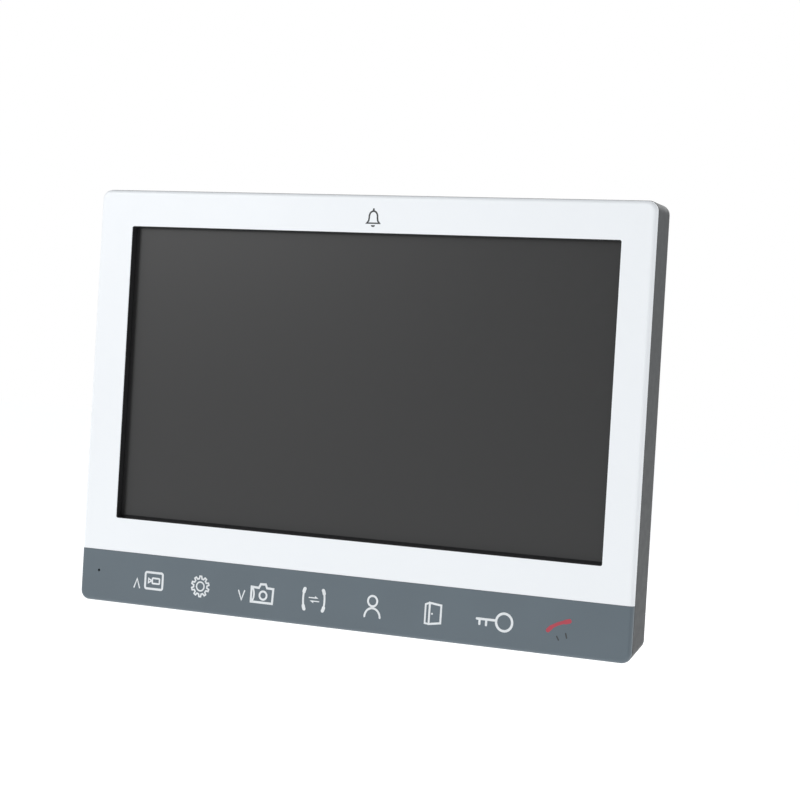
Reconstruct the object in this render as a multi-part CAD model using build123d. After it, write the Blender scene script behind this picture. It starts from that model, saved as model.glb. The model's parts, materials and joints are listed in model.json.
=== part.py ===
from build123d import *

import os

# A wall-hung video intercom monitor. Millimetres, +Z up, the front faces -Y and the wall is the plane Y = 0.
# The origin is the centre of the wall bracket's back face. X = 0 is the middle of the case.

# ------------------------------------------------------------------ driving dimensions: the face
active_width = 222.7  # lit area of the display
active_height = 125.3
window_extra_width = 1.3  # how much larger the window is than the lit area
window_extra_height = 0.2
margin_top = 15.5  # white frame above the window
sill_height = 14.2  # white frame below the window
strip_height = 22.3  # touch key strip
case_corner = 4.0
window_corner = 0.8
front_thickness = 2.2  # frame and key strip
front_edge_round = 1.6
strip_setback = 0.05  # the key strip's face lies this far behind the frame's
strip_gap = 0.12  # hairline between the frame and the key strip
lap_height = 3.0  # the frame's tongue behind the key strip's upper edge
lap_thickness = 1.1
lip_height = 2.2  # rim that centres the front in the rear cover
lip_wall = 1.0
lip_corner = 2.0
lip_gap = 0.6  # between the lip and the case screw bosses

# ------------------------------------------------------------------ driving dimensions: the rear cover
cover_wall = 1.8
seam_gap = 0.3  # shadow line between the front and the rear cover
rim_step = 0.2  # the cover's top edge stands this far above the frame's
side_draft = 1.0  # each side, over the cover's depth
top_draft = 0.5
underside_rise = 4.3  # the underside climbs this much towards the wall
cover_rear_round = 1.8
cover_least_corner = 0.6
fit_gap = 0.2  # between the lip and the cover
wall_gap = 0.6  # case rear face to the wall
vent_count = 9
vent_pitch = 5.0
vent_width = 1.8
vent_from_recess = 14.2
vent_from_side = 27.0
vent_from_top = 21.5
slot_end_share = 0.49  # end radius of a slot, as a share of its width
label_width = 36.0
label_height = 22.0
label_from_recess = 6.2
label_centre_z = -46.0
label_recess_depth = 0.2
label_recess_corner = 1.0
label_edge_gap = 0.15
label_face_gap = 0.02
post_radius = 2.6  # posts for the speaker's retainer and the side board

# ------------------------------------------------------------------ driving dimensions: the display module
gasket_thickness = 0.8
gasket_width = 3.5
gasket_lip = 0.3  # thickness of the lip that lines the window's edge
gasket_lip_back = 0.25  # lip's front edge behind the front face
frame_gauge = 0.4
frame_inner_corner = 0.6
module_left = 6.85  # module outline beyond the lit area
module_right = 4.45
module_top = 8.2
module_bottom = 9.5
module_corner = 1.0
module_gap_left = 2.6  # between the module and the case screw bosses
module_gap_right = 0.6
active_shift = 0.7  # lit area's centre, to the right of the window's
active_rise = 1.3  # lit area's centre, above the window's
frame_reveal = 1.2  # metal frame's opening beyond the lit area
panel_glass = 0.55  # each of the panel's two glasses
panel_ledge = 3.0  # contact ledge along the panel's lower edge
panel_gap = 0.3
film_thickness = 0.15
film_count = 3
guide_thickness = 2.0
reflector_thickness = 0.25
rear_plate_thickness = 0.6
guide_border = 2.6  # light guide beyond the lit area
mid_gap = 0.1
led_count = 30
led_size = (3.0, 1.4, 0.8)
backlight_board_thickness = 0.6
driver_board_height = 11.0
driver_board_thickness = 0.8
driver_board_inset = 15.0
driver_board_up = 1.2  # above the module's lower edge
flex_width = 32.0
flex_thickness = 0.2
flex_spacing = 124.0
flex_side_gap = 1.0
flex_hang = 0.6  # below the module's lower edge
flex_bend = 0.8
flex_lap = 2.0  # on the panel's ledge and on the driver board

# ------------------------------------------------------------------ driving dimensions: boards
spacer_height = 2.0
spacer_radius = 2.5
board_thickness = 1.6
hook_to_socket = 0.3  # hooks pass this far behind the sockets on the main board
main_board_low = -42.0
main_board_high = 48.0
board_from_speaker = 4.0
board_corner = 2.0
board_hole_inset = 5.0
ribbon_thickness = 0.3
ribbon_width = 10.0
ribbon_bend = 1.5
ribbon_inset = 3.0  # socket's mouth to the main board's edge
lcd_ribbon_x = 22.0
socket_height = 0.9
socket_depth = 4.0
socket_end = 1.5  # socket beyond each side of its ribbon
socket_inset = 1.0  # from a board's edge
speaker_socket_height = 2.1
speaker_socket_width = 6.0
speaker_socket_depth = 4.5
speaker_socket_above = 8.0  # above the speaker's centre
processor_size = 17.0
processor_height = 1.2
processor_z = 28.5
processor_mark_inset = 1.7
processor_mark_radius = 0.6
memory_x = 19.0
memory_size = (9.0, 13.0)
memory_height = 1.0
shield_centre = (50.5, 2.0)
shield_size = (15.0, 24.0)
shield_height = 2.1
shield_gauge = 0.2
small_chip_places = [(-31.0, 40.5, 7.0, 7.0), (-36.0, 16.0, 6.0, 5.0), (-24.0, -21.0, 5.0, 4.0),
                     (46.0, -24.0, 7.0, 7.0), (0.0, -24.0, 10.0, 6.0)]  # centre x, centre z, width, height
small_chip_height = 1.1
tall_part_gap = 4.2  # between the recess and the tall parts beside it
tall_from_top = 18.0  # first inductor below the main board's upper edge
inductor_size = 8.0
inductor_height = 3.8
inductor_chamfer = 0.8
inductor_pitch = 11.0
inductor_count = 2
capacitor_size = 6.6
capacitor_radius = 3.15
capacitor_base = 0.8
capacitor_height = 4.8
capacitor_round = 0.5
capacitor_pitch = 9.0
capacitor_count = 3
cell_radius = 6.25
cell_thickness = 2.0
cell_gap = 0.15
cell_round = 0.3
cell_tray_size = 15.0
cell_tray_height = 3.0
cell_tray_floor = 0.8
cell_above_edge = 16.0
cell_side_gap = 0.5
cell_edge_gap = 1.5

# ------------------------------------------------------------------ driving dimensions: touch keys
touch_board_margin = 9.15  # beyond the first and last key
touch_board_thickness = 1.0
touch_board_corner = 1.0
touch_board_gap = 0.3  # round the touch board
key_count = 8
key_height = 11.0
first_key_from_side = 34.15
last_key_from_side = 30.15
key_light_hole = 1.6
key_led_size = (4.4, 0.9, 3.8)
touch_controller_size = (8.0, 1.1, 8.0)
touch_controller_up = 10.5
touch_socket_up = 10.0
touch_ribbon_rise = 5.0  # straight run out of its socket
touch_ribbon_drop = 2.5  # bend below the display module

# ------------------------------------------------------------------ driving dimensions: bracket, recess
bracket_up = 96.0  # bracket's centre above the case's lowest edge
bracket_width = 116.0
bracket_height = 88.0
bracket_gauge = 1.2
bracket_corner = 6.0
recess_gap = 2.0  # round the bracket
recess_floor_gap = 2.2  # room for screw heads in front of the bracket
lift_travel = 7.0
lift_stop_gap = 1.0
hook_from_side = 22.0  # hook's middle to the bracket's edge
hook_width = 12.0
hook_lip = 6.5
hook_above_edge = 9.0  # lower hooks
hook_below_edge = 17.0  # upper hooks
hook_blank_gap = 0.6  # hole that the hook is bent out of, each side
hook_run_gap = 0.05  # leg to slot
hook_side_gap = 0.4
hook_face_gap = 0.2  # lip to the recess floor's inner face
wall_screw_side_inset = 8.0
wall_screw_end_inset = 10.0
wall_screw_radius = 2.25
box_screw_spacing = 60.0
box_screw_radius = 2.1
wire_window_width = 56.0
wire_window_height = 36.0
wire_window_corner = 4.0

# ------------------------------------------------------------------ driving dimensions: sockets, sound, switch
bay_side_room = 4.7  # beside the headers
bay_height = 27.0
bay_centre_z = -0.5
bay_wall = 1.4
bay_gap = 0.2  # bay wall to main board
bay_corner = 1.0
pin_pitch = 2.5
header_height = 4.4
header_depth = 6.0
header_wall = 1.0
header_gap = 1.2
header_from_top = 1.4  # header to the bay's upper wall
header_floor = 1.0
header_notch_side = 2.6
header_notch_floor = 2.0
pin_side = 0.64
pin_below_rim = 0.6
door_header_count = 3
door_header_pins = 4
power_header_pins = 2
speaker_radius = 18.0
speaker_centre_z = -40.0
speaker_from_side = 35.0
speaker_frame_height = 3.3
speaker_gasket_thickness = 0.5
speaker_magnet_radius = 11.0
speaker_magnet_height = 2.4
speaker_frame_wall = 1.6
speaker_frame_floor = 0.8
speaker_frame_hole = 6.5
speaker_gasket_width = 2.5
speaker_seat_wall = 1.5
speaker_seat_height = 1.4
cone_gap = 0.2  # cone to the frame's wall
cone_sheet = 0.5
cone_middle = 6.0
cone_edge = 2.5
cone_below_rim = 0.8
cone_rise = 1.4
retainer_thickness = 0.8
retainer_past_speaker = 4.5  # retainer's screws beyond the speaker
retainer_end = 3.5
retainer_corner = 3.0
grille_inset = 3.0
grille_slot = 1.6
grille_pitch = 3.4
microphone_from_side = 9.2
microphone_up = 13.2
microphone_radius = 3.0
microphone_length = 3.0
pinhole_radius = 0.6
boot_wall = 0.9
boot_front_wall = 0.8
boot_hole = 1.0
boot_back_step = 0.3
lead_radius = 0.7
microphone_lead_above = 0.5
microphone_lead_loop = 3.0
microphone_lead_lap = 3.0
microphone_lead_bend = 1.5
lead_to_post = 0.4
speaker_lead_front = 1.4
speaker_lead_rise = 1.0
speaker_lead_stub = 4.0
speaker_lead_bend = 2.0
speaker_lead_gap = 0.05  # lead's end to the frame's round side
side_board_width = 16.0
side_board_corner = 1.0
side_board_from_top = 15.5
side_board_wall_gap = 2.4
side_board_top_margin = 6.7
pin_radius = 0.95  # pins that the side board is staked on
pin_gap = 0.1
pin_inset = 3.0
pin_past_board = 0.5
switch_travel = 2.5
knob_height = 3.0
knob_thickness = 2.0
knob_proud = 1.2
knob_gap = 0.3
knob_round = 0.4
knob_groove = (0.25, 0.3)  # depth and width
knob_groove_pitch = 0.8
knob_root = 2.0  # knob's reach past the side board's edge
switch_body_from_edge = 0.2
switch_body_depth = 3.6
switch_body_width = 5.0
switch_body_wall = 1.55
switch_pocket_gap = 0.2
switch_pocket_depth = 2.2
switch_margin = 8.75  # switch to the side board's lower edge
card_width = 11.0
card_gap = 0.6
card_slot_height = 1.4
card_slot_up = 0.3  # above the side board
card_socket_length = 12.0
card_socket_side = 1.3
card_socket_back = 0.8
card_from_switch = 0.95
side_ribbon_margin = 2.0
side_ribbon_rise = 1.4
side_ribbon_straight = 6.0
side_ribbon_bend = 4.0

# ------------------------------------------------------------------ driving dimensions: fasteners
case_screw_radius = 1.3
screw_hole_gap = 0.05
boss_wall = 1.05
boss_to_rear = 5.6  # boss end to the case's rear face
pillar_gap = 0.1  # between a boss and its pillar
case_screw_low = 34.0
case_screw_high = 9.5  # below the case's top
strip_screw_inset = 18.0
strip_screw_up = 10.0
pillar_radius = 3.5
pillar_floor = 1.6
head_radius = 2.3
head_height = 1.6
head_pocket_gap = 0.4
case_screw_length = 8.0
case_screw_hole_past = 0.5  # empty hole beyond a screw's tip
clearance_gap = 0.2  # round a screw in a plain hole
strap_thickness = 1.0
strap_width = 11.4
strap_end = 6.0
strap_corner = 1.5
strap_screw_low = -24.0
strap_screw_below_board = 3.0  # upper strap screws, below the side board
strap_screw_length = 5.0
retainer_screw_length = 5.0
board_screw_end_gap = 0.3
small_screw_radius = 1.1
small_head_radius = 2.0
small_head_height = 1.4

# ------------------------------------------------------------------ worked-out sizes: across the face
small_hole_radius = small_screw_radius + screw_hole_gap
boss_radius = case_screw_radius + screw_hole_gap + boss_wall
case_screw_inset = cover_wall + fit_gap + lip_wall + lip_gap + boss_radius  # from the case's side
module_past_window_left = module_left - active_shift - window_extra_width / 2
module_past_window_right = module_right + active_shift - window_extra_width / 2
margin_left = module_past_window_left + module_gap_left + boss_radius + case_screw_inset
margin_right = module_past_window_right + module_gap_right + boss_radius + case_screw_inset
window_width = active_width + window_extra_width
window_height = active_height + window_extra_height
case_width = margin_left + window_width + margin_right
case_height = strip_height + sill_height + window_height + margin_top
half_width = case_width / 2
bottom_z = -bracket_up
top_z = bottom_z + case_height

# ------------------------------------------------------------------ worked-out sizes: depths behind the front
module_front = front_thickness + gasket_thickness
panel_front = module_front + frame_gauge
panel_rear = panel_front + 2 * panel_glass
films_rear = panel_rear + film_count * film_thickness
guide_rear = films_rear + guide_thickness
reflector_rear = guide_rear + reflector_thickness
module_rear = reflector_rear + rear_plate_thickness
driver_board_rear = module_rear + driver_board_thickness
board_front = module_rear + spacer_height
board_rear = board_front + board_thickness
touch_board_rear = front_thickness + touch_board_thickness
floor_to_board = hook_face_gap + bracket_gauge + hook_to_socket + socket_height
recess_depth = bracket_gauge + recess_floor_gap + cover_wall
case_depth = board_rear + floor_to_board + recess_depth - wall_gap
cover_inner = case_depth - cover_wall
cover_front = front_thickness + seam_gap
boss_rear = case_depth - boss_to_rear
front_y = -(case_depth + wall_gap)
rear_y = -wall_gap


def behind(depth):
    """Y of the plane that lies this far behind the front face."""
    return front_y + depth


def up(height):
    """Z of the plane that lies this far above the case's lowest edge."""
    return bottom_z + height


def grow(span, by):
    """A span made longer by the same amount at each end."""
    return (span[0] - by, span[1] + by)


def about(centre, size):
    """A span of this size about a centre."""
    return (centre - size / 2, centre + size / 2)


# ------------------------------------------------------------------ worked-out places
window_x = (-half_width + margin_left, half_width - margin_right)
window_z = (up(strip_height + sill_height), up(strip_height + sill_height + window_height))
active_x = about(sum(window_x) / 2 + active_shift, active_width)
active_z = about(sum(window_z) / 2 + active_rise, active_height)
module_x = (active_x[0] - module_left, active_x[1] + module_right)
module_z = (active_z[0] - module_bottom, active_z[1] + module_top)
flex_centres = about(sum(module_x) / 2, flex_spacing)
driver_board_x = grow(module_x, -driver_board_inset)
driver_board_z = (module_z[0] + driver_board_up, module_z[0] + driver_board_up + driver_board_height)

recess_floor_y = -(bracket_gauge + recess_floor_gap)
recess_inner_y = recess_floor_y - cover_wall
recess_x = grow(about(0, bracket_width), recess_gap)
recess_z = (-bracket_height / 2 - lift_travel - lift_stop_gap, bracket_height / 2 + lift_stop_gap)
recess_side = recess_x[1] + cover_wall
hook_centres = about(0, bracket_width - 2 * hook_from_side)
hook_lows = (-bracket_height / 2 + hook_above_edge, bracket_height / 2 - hook_below_edge)

header_pin_counts = [door_header_pins] * door_header_count + [power_header_pins]
header_widths = [pins * pin_pitch + 2 * header_wall for pins in header_pin_counts]
headers_width = sum(header_widths) + header_gap * (len(header_widths) - 1)
bay_x = about(0, headers_width + 2 * bay_side_room)
bay_z = about(bay_centre_z, bay_height)
header_z = (bay_z[1] - header_from_top - header_depth, bay_z[1] - header_from_top)

speaker_x = -half_width + speaker_from_side
speaker_rear = cover_inner - speaker_gasket_thickness
speaker_front = speaker_rear - speaker_frame_height
magnet_front = speaker_front - speaker_magnet_height
retainer_reach = speaker_radius + retainer_past_speaker
speaker_socket_z = speaker_centre_z + speaker_socket_above
speaker_lead_above = post_radius + lead_radius + lead_to_post

tall_x = recess_side + tall_part_gap + inductor_size / 2
cell_place = (tall_x + inductor_size / 2 + cell_side_gap + cell_tray_size / 2, main_board_low + cell_above_edge)
main_board_x = (speaker_x + retainer_reach + retainer_end + board_from_speaker,
                cell_place[0] + cell_tray_size / 2 + cell_edge_gap)
main_board_z = (main_board_low, main_board_high)
ribbon_low_z = main_board_z[0] + ribbon_inset

switch_body_length = knob_height + switch_travel + 2 * (switch_pocket_gap + switch_body_wall)
card_socket_width = card_width + 2 * card_socket_side
side_board_height = (switch_margin + switch_body_length + card_from_switch + card_socket_width
                     + side_board_top_margin)
side_board_x = (-half_width + cover_wall + side_board_wall_gap,
                -half_width + cover_wall + side_board_wall_gap + side_board_width)
side_board_z = (top_z - side_board_from_top - side_board_height, top_z - side_board_from_top)
side_ribbon_z = side_board_z[0] + side_ribbon_margin + ribbon_width / 2
switch_z = side_board_z[0] + switch_margin + switch_body_wall + switch_pocket_gap + knob_height / 2
card_z = side_board_z[0] + switch_margin + switch_body_length + card_from_switch + card_socket_width / 2

first_key_x = -half_width + first_key_from_side
last_key_x = half_width - last_key_from_side
key_pitch = (last_key_x - first_key_x) / (key_count - 1)
key_places = [first_key_x + number * key_pitch for number in range(key_count)]
touch_board_x = grow((first_key_x, last_key_x), touch_board_margin)
touch_ribbon_x = (key_places[2] + key_places[3]) / 2
touch_controller_x = (key_places[3] + key_places[4]) / 2
microphone_place = (-half_width + microphone_from_side, up(microphone_up))
microphone_front = front_thickness + boot_front_wall
microphone_rear = microphone_front + microphone_length

case_screw_x = half_width - case_screw_inset
case_screws = [(side * case_screw_x, z) for side in (-1, 1)
               for z in (up(case_screw_low), top_z - case_screw_high)]
strip_screws = [(side * (half_width - strip_screw_inset), up(strip_screw_up)) for side in (-1, 1)]
strap_screw_z = (strap_screw_low, side_board_z[0] - strap_screw_below_board)
strap_screws = [(side * case_screw_x, z) for side in (-1, 1) for z in strap_screw_z]
board_screws = [(x, z) for x in grow(main_board_x, -board_hole_inset)
                for z in grow(main_board_z, -board_hole_inset)]
side_board_pins = [(side_board_x[0] + pin_inset, side_board_z[0] + pin_inset),
                   (side_board_x[1] - pin_inset, side_board_z[1] - pin_inset)]


# ------------------------------------------------------------------ shapes used by several pieces
def block(x, y, z):
    """A box between two X, two Y and two Z planes."""
    centre = Pos(sum(x) / 2, sum(y) / 2, sum(z) / 2)
    return centre * Box(x[1] - x[0], y[1] - y[0], z[1] - z[0])


def plate(x, y, z, corner):
    """A plate that faces along Y, with round corners."""
    outline = RectangleRounded(x[1] - x[0], z[1] - z[0], corner)
    return Pos(sum(x) / 2, y[1], sum(z) / 2) * Rot(90, 0, 0) * extrude(outline, y[1] - y[0])


def rod(x, z, y, radius):
    """A round bar along Y."""
    return Pos(x, sum(y) / 2, z) * Rot(90, 0, 0) * Cylinder(radius, y[1] - y[0])


def pan_screw(x, z, seat_y, length, radius, head, height, heads_to):
    """A pan-head screw along Y: heads_to is +1 where the head is on the wall side of its seat."""
    shank = rod(x, z, tuple(sorted((seat_y, seat_y - heads_to * length))), radius)
    cap = rod(x, z, tuple(sorted((seat_y, seat_y + heads_to * height))), head)
    outer_y = seat_y + heads_to * height
    rim = cap.faces().sort_by(Axis.Y)[-1 if heads_to > 0 else 0].edges()
    cap = fillet(rim, height * 0.35)
    drive = rod(x, z, tuple(sorted((outer_y, outer_y - heads_to * height * 0.5))), head * 0.1)
    blade = (head * 1.1, head * 0.28)
    deep = tuple(sorted((outer_y, outer_y - heads_to * height * 0.5)))
    for wide, tall in (blade, blade[::-1]):
        drive += block((x - wide / 2, x + wide / 2), deep, (z - tall / 2, z + tall / 2))
    return shank + cap - drive


def swept(points, radius, profile, x_dir):
    """A flat or round section carried along straight runs joined by arcs."""
    path = FilletPolyline(*points, radius=radius)
    start = Plane(origin=path @ 0, x_dir=x_dir, z_dir=path % 0)
    return sweep(start * profile, path)


# ------------------------------------------------------------------ front
def front_outline():
    """The whole front, frame and key strip together, with its rounded outer edge."""
    y = (front_y, behind(front_thickness))
    whole = plate((-half_width, half_width), y, (bottom_z, top_z - rim_step), case_corner)
    return fillet(whole.faces().sort_by(Axis.Y)[0].edges(), front_edge_round)


def lip_span():
    """The rim's outline: the rear cover's inner surface at the rim's deepest edge, less the fit."""
    half, low, high = cover_limits(front_thickness + lip_height, cover_wall + fit_gap)
    return (-half, half), (low, high)


def lip_ring():
    """The rim behind the front that fits inside the rear cover."""
    y = (behind(front_thickness), behind(front_thickness + lip_height))
    x, z = lip_span()
    return plate(x, y, z, lip_corner) - plate(grow(x, -lip_wall), y, grow(z, -lip_wall), lip_corner - lip_wall)


def boss(x, z, rear):
    """A screw boss on the back of the front pieces."""
    return rod(x, z, (behind(front_thickness), behind(rear)), boss_radius)


def boss_hole(x, z, rear, depth):
    return rod(x, z, (behind(rear - depth), behind(rear)), case_screw_radius + screw_hole_gap)


def front_bezel():
    everything = (front_y - 1, behind(boss_rear) + 1)
    strip_zone = block((-case_width, case_width), everything, (bottom_z - 1, up(strip_height)))
    part = front_outline() + lip_ring() - strip_zone
    tongue_x = grow(lip_span()[0], -(lip_wall + fit_gap))
    tongue_y = (behind(lap_thickness), behind(front_thickness))
    part += block(tongue_x, tongue_y, (up(strip_height - lap_height), up(strip_height)))
    part -= plate(window_x, everything, window_z, window_corner)
    for x, z in case_screws:
        part += boss(x, z, boss_rear)
        part -= boss_hole(x, z, boss_rear, case_screw_length)
    for x, z in strap_screws:
        part += boss(x, z, module_rear)
        part -= rod(x, z, (behind(front_thickness), behind(module_rear)), small_hole_radius)
    return part


def touch_strip_cover():
    everything = (front_y - 1, behind(boss_rear) + 1)
    frame_zone = block((-case_width, case_width), everything, (up(strip_height - strip_gap), top_z + 1))
    part = front_outline() + lip_ring() - frame_zone
    part -= block((-case_width, case_width), (front_y - 1, behind(strip_setback)), (bottom_z - 1, top_z))
    lap_x = grow(lip_span()[0], -lip_wall)
    lap_y = (behind(lap_thickness), behind(front_thickness + lip_height) + 1)
    part -= block(lap_x, lap_y, (up(strip_height - lap_height - fit_gap), up(strip_height)))
    for x, z in strip_screws:
        part += boss(x, z, boss_rear)
        part -= boss_hole(x, z, boss_rear, case_screw_length)
    part -= rod(*microphone_place, everything, pinhole_radius)
    return part


# ------------------------------------------------------------------ rear cover
def cover_limits(depth, inset):
    """Half width, low edge and high edge of the cover at a depth, drawn in by an inset."""
    share = (depth - cover_front) / (case_depth - cover_front)
    half = half_width - side_draft * share - inset
    low = bottom_z + underside_rise * share + inset
    high = top_z - top_draft * share - inset
    return half, low, high


def cover_section(depth, inset):
    """The cover's outline at a depth, drawn in by an inset."""
    half, low, high = cover_limits(depth, inset)
    outline = RectangleRounded(2 * half, high - low, max(case_corner - inset, cover_least_corner))
    return Pos(0, behind(depth), (low + high) / 2) * Rot(90, 0, 0) * outline


def cover_shell():
    outer = loft([cover_section(cover_front, 0), cover_section(case_depth, 0)], ruled=True)
    outer = fillet(outer.faces().sort_by(Axis.Y)[-1].edges(), cover_rear_round)
    mouth = cover_section(cover_front - 0.5, cover_wall)
    inner = loft([mouth, cover_section(cover_inner, cover_wall)], ruled=True)
    return outer - inner


def hook_slots():
    slots = []
    for centre in hook_centres:
        for low in hook_lows:
            x = grow(about(centre, hook_width), hook_side_gap)
            top = low + bracket_gauge + hook_run_gap
            bottom = top - (lift_travel + 2 * bracket_gauge)
            slots.append(block(x, (recess_inner_y - 0.5, recess_floor_y + 0.5), (bottom, top)))
    return slots


def round_grille(x, z, radius, pitch, slot, y):
    """Level slots that fill a circle."""
    slots = []
    rows = int(radius // pitch)
    for row in range(-rows, rows + 1):
        rise = row * pitch
        half = (radius ** 2 - rise ** 2) ** 0.5
        slots.append(plate(about(x, 2 * half), y, about(z + rise, slot), slot * slot_end_share))
    return slots


def label_recess():
    x = (recess_side + label_from_recess, recess_side + label_from_recess + label_width)
    return x, about(label_centre_z, label_height)


def vents(y):
    """Level slots between the bracket recess and the case's side."""
    x = (recess_side + vent_from_recess, half_width - vent_from_side)
    top = top_z - vent_from_top
    return [plate(x, y, about(top - number * vent_pitch, vent_width), vent_width * slot_end_share)
            for number in range(vent_count)]


def screw_pillars(part, root_y):
    """Pillars that meet the front's bosses, each with a screw hole and a pocket for the head."""
    pillar_front = boss_rear + pillar_gap
    for x, z in case_screws + strip_screws:
        part += rod(x, z, (behind(pillar_front), root_y), pillar_radius)
    for x, z in case_screws + strip_screws:
        part -= rod(x, z, (behind(boss_rear) - 1, 1.0), case_screw_radius + clearance_gap)
        part -= rod(x, z, (behind(pillar_front + pillar_floor), 1.0), head_radius + head_pocket_gap)
    return part


def speaker_seat(part, inner_rear, root_y):
    """A ring round the speaker and two posts for its retainer."""
    seat_y = (behind(cover_inner - speaker_seat_height), root_y)
    part += rod(speaker_x, speaker_centre_z, seat_y, speaker_radius + speaker_seat_wall)
    part -= rod(speaker_x, speaker_centre_z, (seat_y[0] - 1, inner_rear), speaker_radius + fit_gap)
    for x in about(speaker_x, 2 * retainer_reach):
        part += rod(x, speaker_centre_z, (behind(magnet_front), root_y), post_radius)
        hole_y = (behind(magnet_front) - 1, behind(magnet_front) + retainer_screw_length)
        part -= rod(x, speaker_centre_z, hole_y, small_hole_radius)
    return part


def rear_cover():
    part = cover_shell()
    # bracket recess with its own floor
    inner_rear = behind(cover_inner)
    root_y = inner_rear + cover_wall / 2
    recess_y = (recess_inner_y, root_y)
    part += plate(grow(recess_x, cover_wall), recess_y, grow(recess_z, cover_wall), bracket_corner)
    part -= plate(recess_x, (recess_floor_y, 1.0), recess_z, bracket_corner - cover_wall)
    for slot in hook_slots():
        part -= slot
    # connector bay, walled down to the main board
    bay_front = behind(board_rear + bay_gap)
    bay_y = (bay_front, recess_inner_y + cover_wall / 2)
    part += plate(grow(bay_x, bay_wall), bay_y, grow(bay_z, bay_wall), bay_corner + bay_wall)
    part -= plate(bay_x, (bay_front - 1, 0.0), bay_z, bay_corner)
    part = screw_pillars(part, root_y)
    part = speaker_seat(part, inner_rear, root_y)
    # speaker grille, vents and label recess
    through = (inner_rear - 0.5, 1.0)
    grille_radius = speaker_radius - grille_inset
    for slot in round_grille(speaker_x, speaker_centre_z, grille_radius, grille_pitch, grille_slot, through):
        part -= slot
    for slot in vents(through):
        part -= slot
    label_x, label_z = label_recess()
    part -= plate(label_x, (rear_y - label_recess_depth, 1.0), label_z, label_recess_corner)
    # heat-staked pins that hold the side board
    pin_y = (behind(board_front - pin_past_board), behind(board_rear) + post_radius / 2)
    for x, z in side_board_pins:
        part += rod(x, z, (behind(board_rear), root_y), post_radius)
        part += rod(x, z, pin_y, pin_radius)
    # card slot and switch slot in the left side
    side_x = (-half_width - 1, -half_width + cover_wall + side_draft + 0.5)
    card_y = (behind(board_rear + card_slot_up), behind(board_rear + card_slot_up + card_slot_height))
    part -= block(side_x, card_y, about(card_z, card_width + 2 * card_gap))
    knob_z = (switch_z - knob_height / 2 - knob_gap, switch_z + switch_travel + knob_height / 2 + knob_gap)
    part -= block(side_x, grow(switch_knob_y(), knob_gap), knob_z)
    return part


# ------------------------------------------------------------------ display module
def display_gasket():
    """A flat ring between the frame and the display, with a lip that lines the window."""
    flange_y = (behind(front_thickness), behind(module_front))
    lip_y = (behind(gasket_lip_back), behind(module_front))
    flange_corner = window_corner + gasket_width
    part = plate(grow(window_x, gasket_width), flange_y, grow(window_z, gasket_width), flange_corner)
    part += plate(window_x, lip_y, window_z, window_corner)
    hole_x, hole_z = grow(window_x, -gasket_lip), grow(window_z, -gasket_lip)
    return part - plate(hole_x, (front_y, behind(module_front) + 1), hole_z, window_corner - gasket_lip)


def lcd_front_frame():
    y = (behind(module_front), behind(module_rear))
    part = plate(module_x, y, module_z, module_corner)
    hollow = (behind(panel_front), behind(module_rear) + 1)
    part -= plate(grow(module_x, -frame_gauge), hollow, grow(module_z, -frame_gauge), frame_inner_corner)
    opening_z = grow(active_z, frame_reveal)
    part -= plate(grow(active_x, frame_reveal), (y[0] - 1, y[1]), opening_z, frame_inner_corner)
    for centre in flex_centres:
        x = grow(about(centre, flex_width), flex_side_gap)
        part -= block(x, (behind(panel_front), y[1] + 1), (module_z[0] - 1, module_z[0] + 1))
    return part


def lcd_panel():
    x = grow(module_x, -(frame_gauge + panel_gap))
    z = grow(module_z, -(frame_gauge + panel_gap))
    front = (behind(panel_front), behind(panel_front + panel_glass))
    back = (front[1], behind(panel_rear))
    return block(x, front, (z[0] + panel_ledge, z[1])) + block(x, back, z)


def guide_span():
    return grow(active_x, guide_border), grow(active_z, guide_border)


def led_room():
    """The slot below the light guide that holds the lamps and their board."""
    x, z = guide_span()
    low = z[0] - led_size[2] - backlight_board_thickness - 2 * mid_gap
    return x, (low, z[0])


def lcd_mid_frame():
    x = grow(module_x, -(frame_gauge + mid_gap))
    z = grow(module_z, -(frame_gauge + mid_gap))
    y = (behind(panel_rear), behind(reflector_rear))
    guide_x, guide_z = guide_span()
    part = plate(x, y, z, frame_inner_corner)
    part -= block(grow(guide_x, mid_gap), y, (led_room()[1][0], guide_z[1] + mid_gap))
    return part


def optical_films():
    x, z = guide_span()
    sheets = []
    for number in range(film_count):
        near = panel_rear + number * film_thickness
        sheets.append(block(x, (behind(near), behind(near + film_thickness)), z))
    return sheets


def light_guide():
    x, z = guide_span()
    return block(x, (behind(films_rear), behind(guide_rear)), z)


def reflector_sheet():
    x, z = guide_span()
    return block(x, (behind(guide_rear), behind(reflector_rear)), z)


def backlight_strip():
    x, z = led_room()
    low = z[0] + mid_gap
    return block(x, (behind(films_rear), behind(guide_rear)), (low, low + backlight_board_thickness))


def backlight_leds():
    x, z = led_room()
    low = z[0] + mid_gap + backlight_board_thickness
    middle = behind((films_rear + guide_rear) / 2)
    pitch = (x[1] - x[0]) / led_count
    lamps = []
    for number in range(led_count):
        centre = x[0] + pitch * (number + 0.5)
        lamps.append(block(about(centre, led_size[0]), about(middle, led_size[1]), (low, low + led_size[2])))
    return lamps


def lcd_rear_plate():
    inset = -(frame_gauge + mid_gap)
    y = (behind(reflector_rear), behind(module_rear))
    return plate(grow(module_x, inset), y, grow(module_z, inset), frame_inner_corner)


def lcd_driver_board():
    return block(driver_board_x, (behind(module_rear), behind(driver_board_rear)), driver_board_z)


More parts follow.
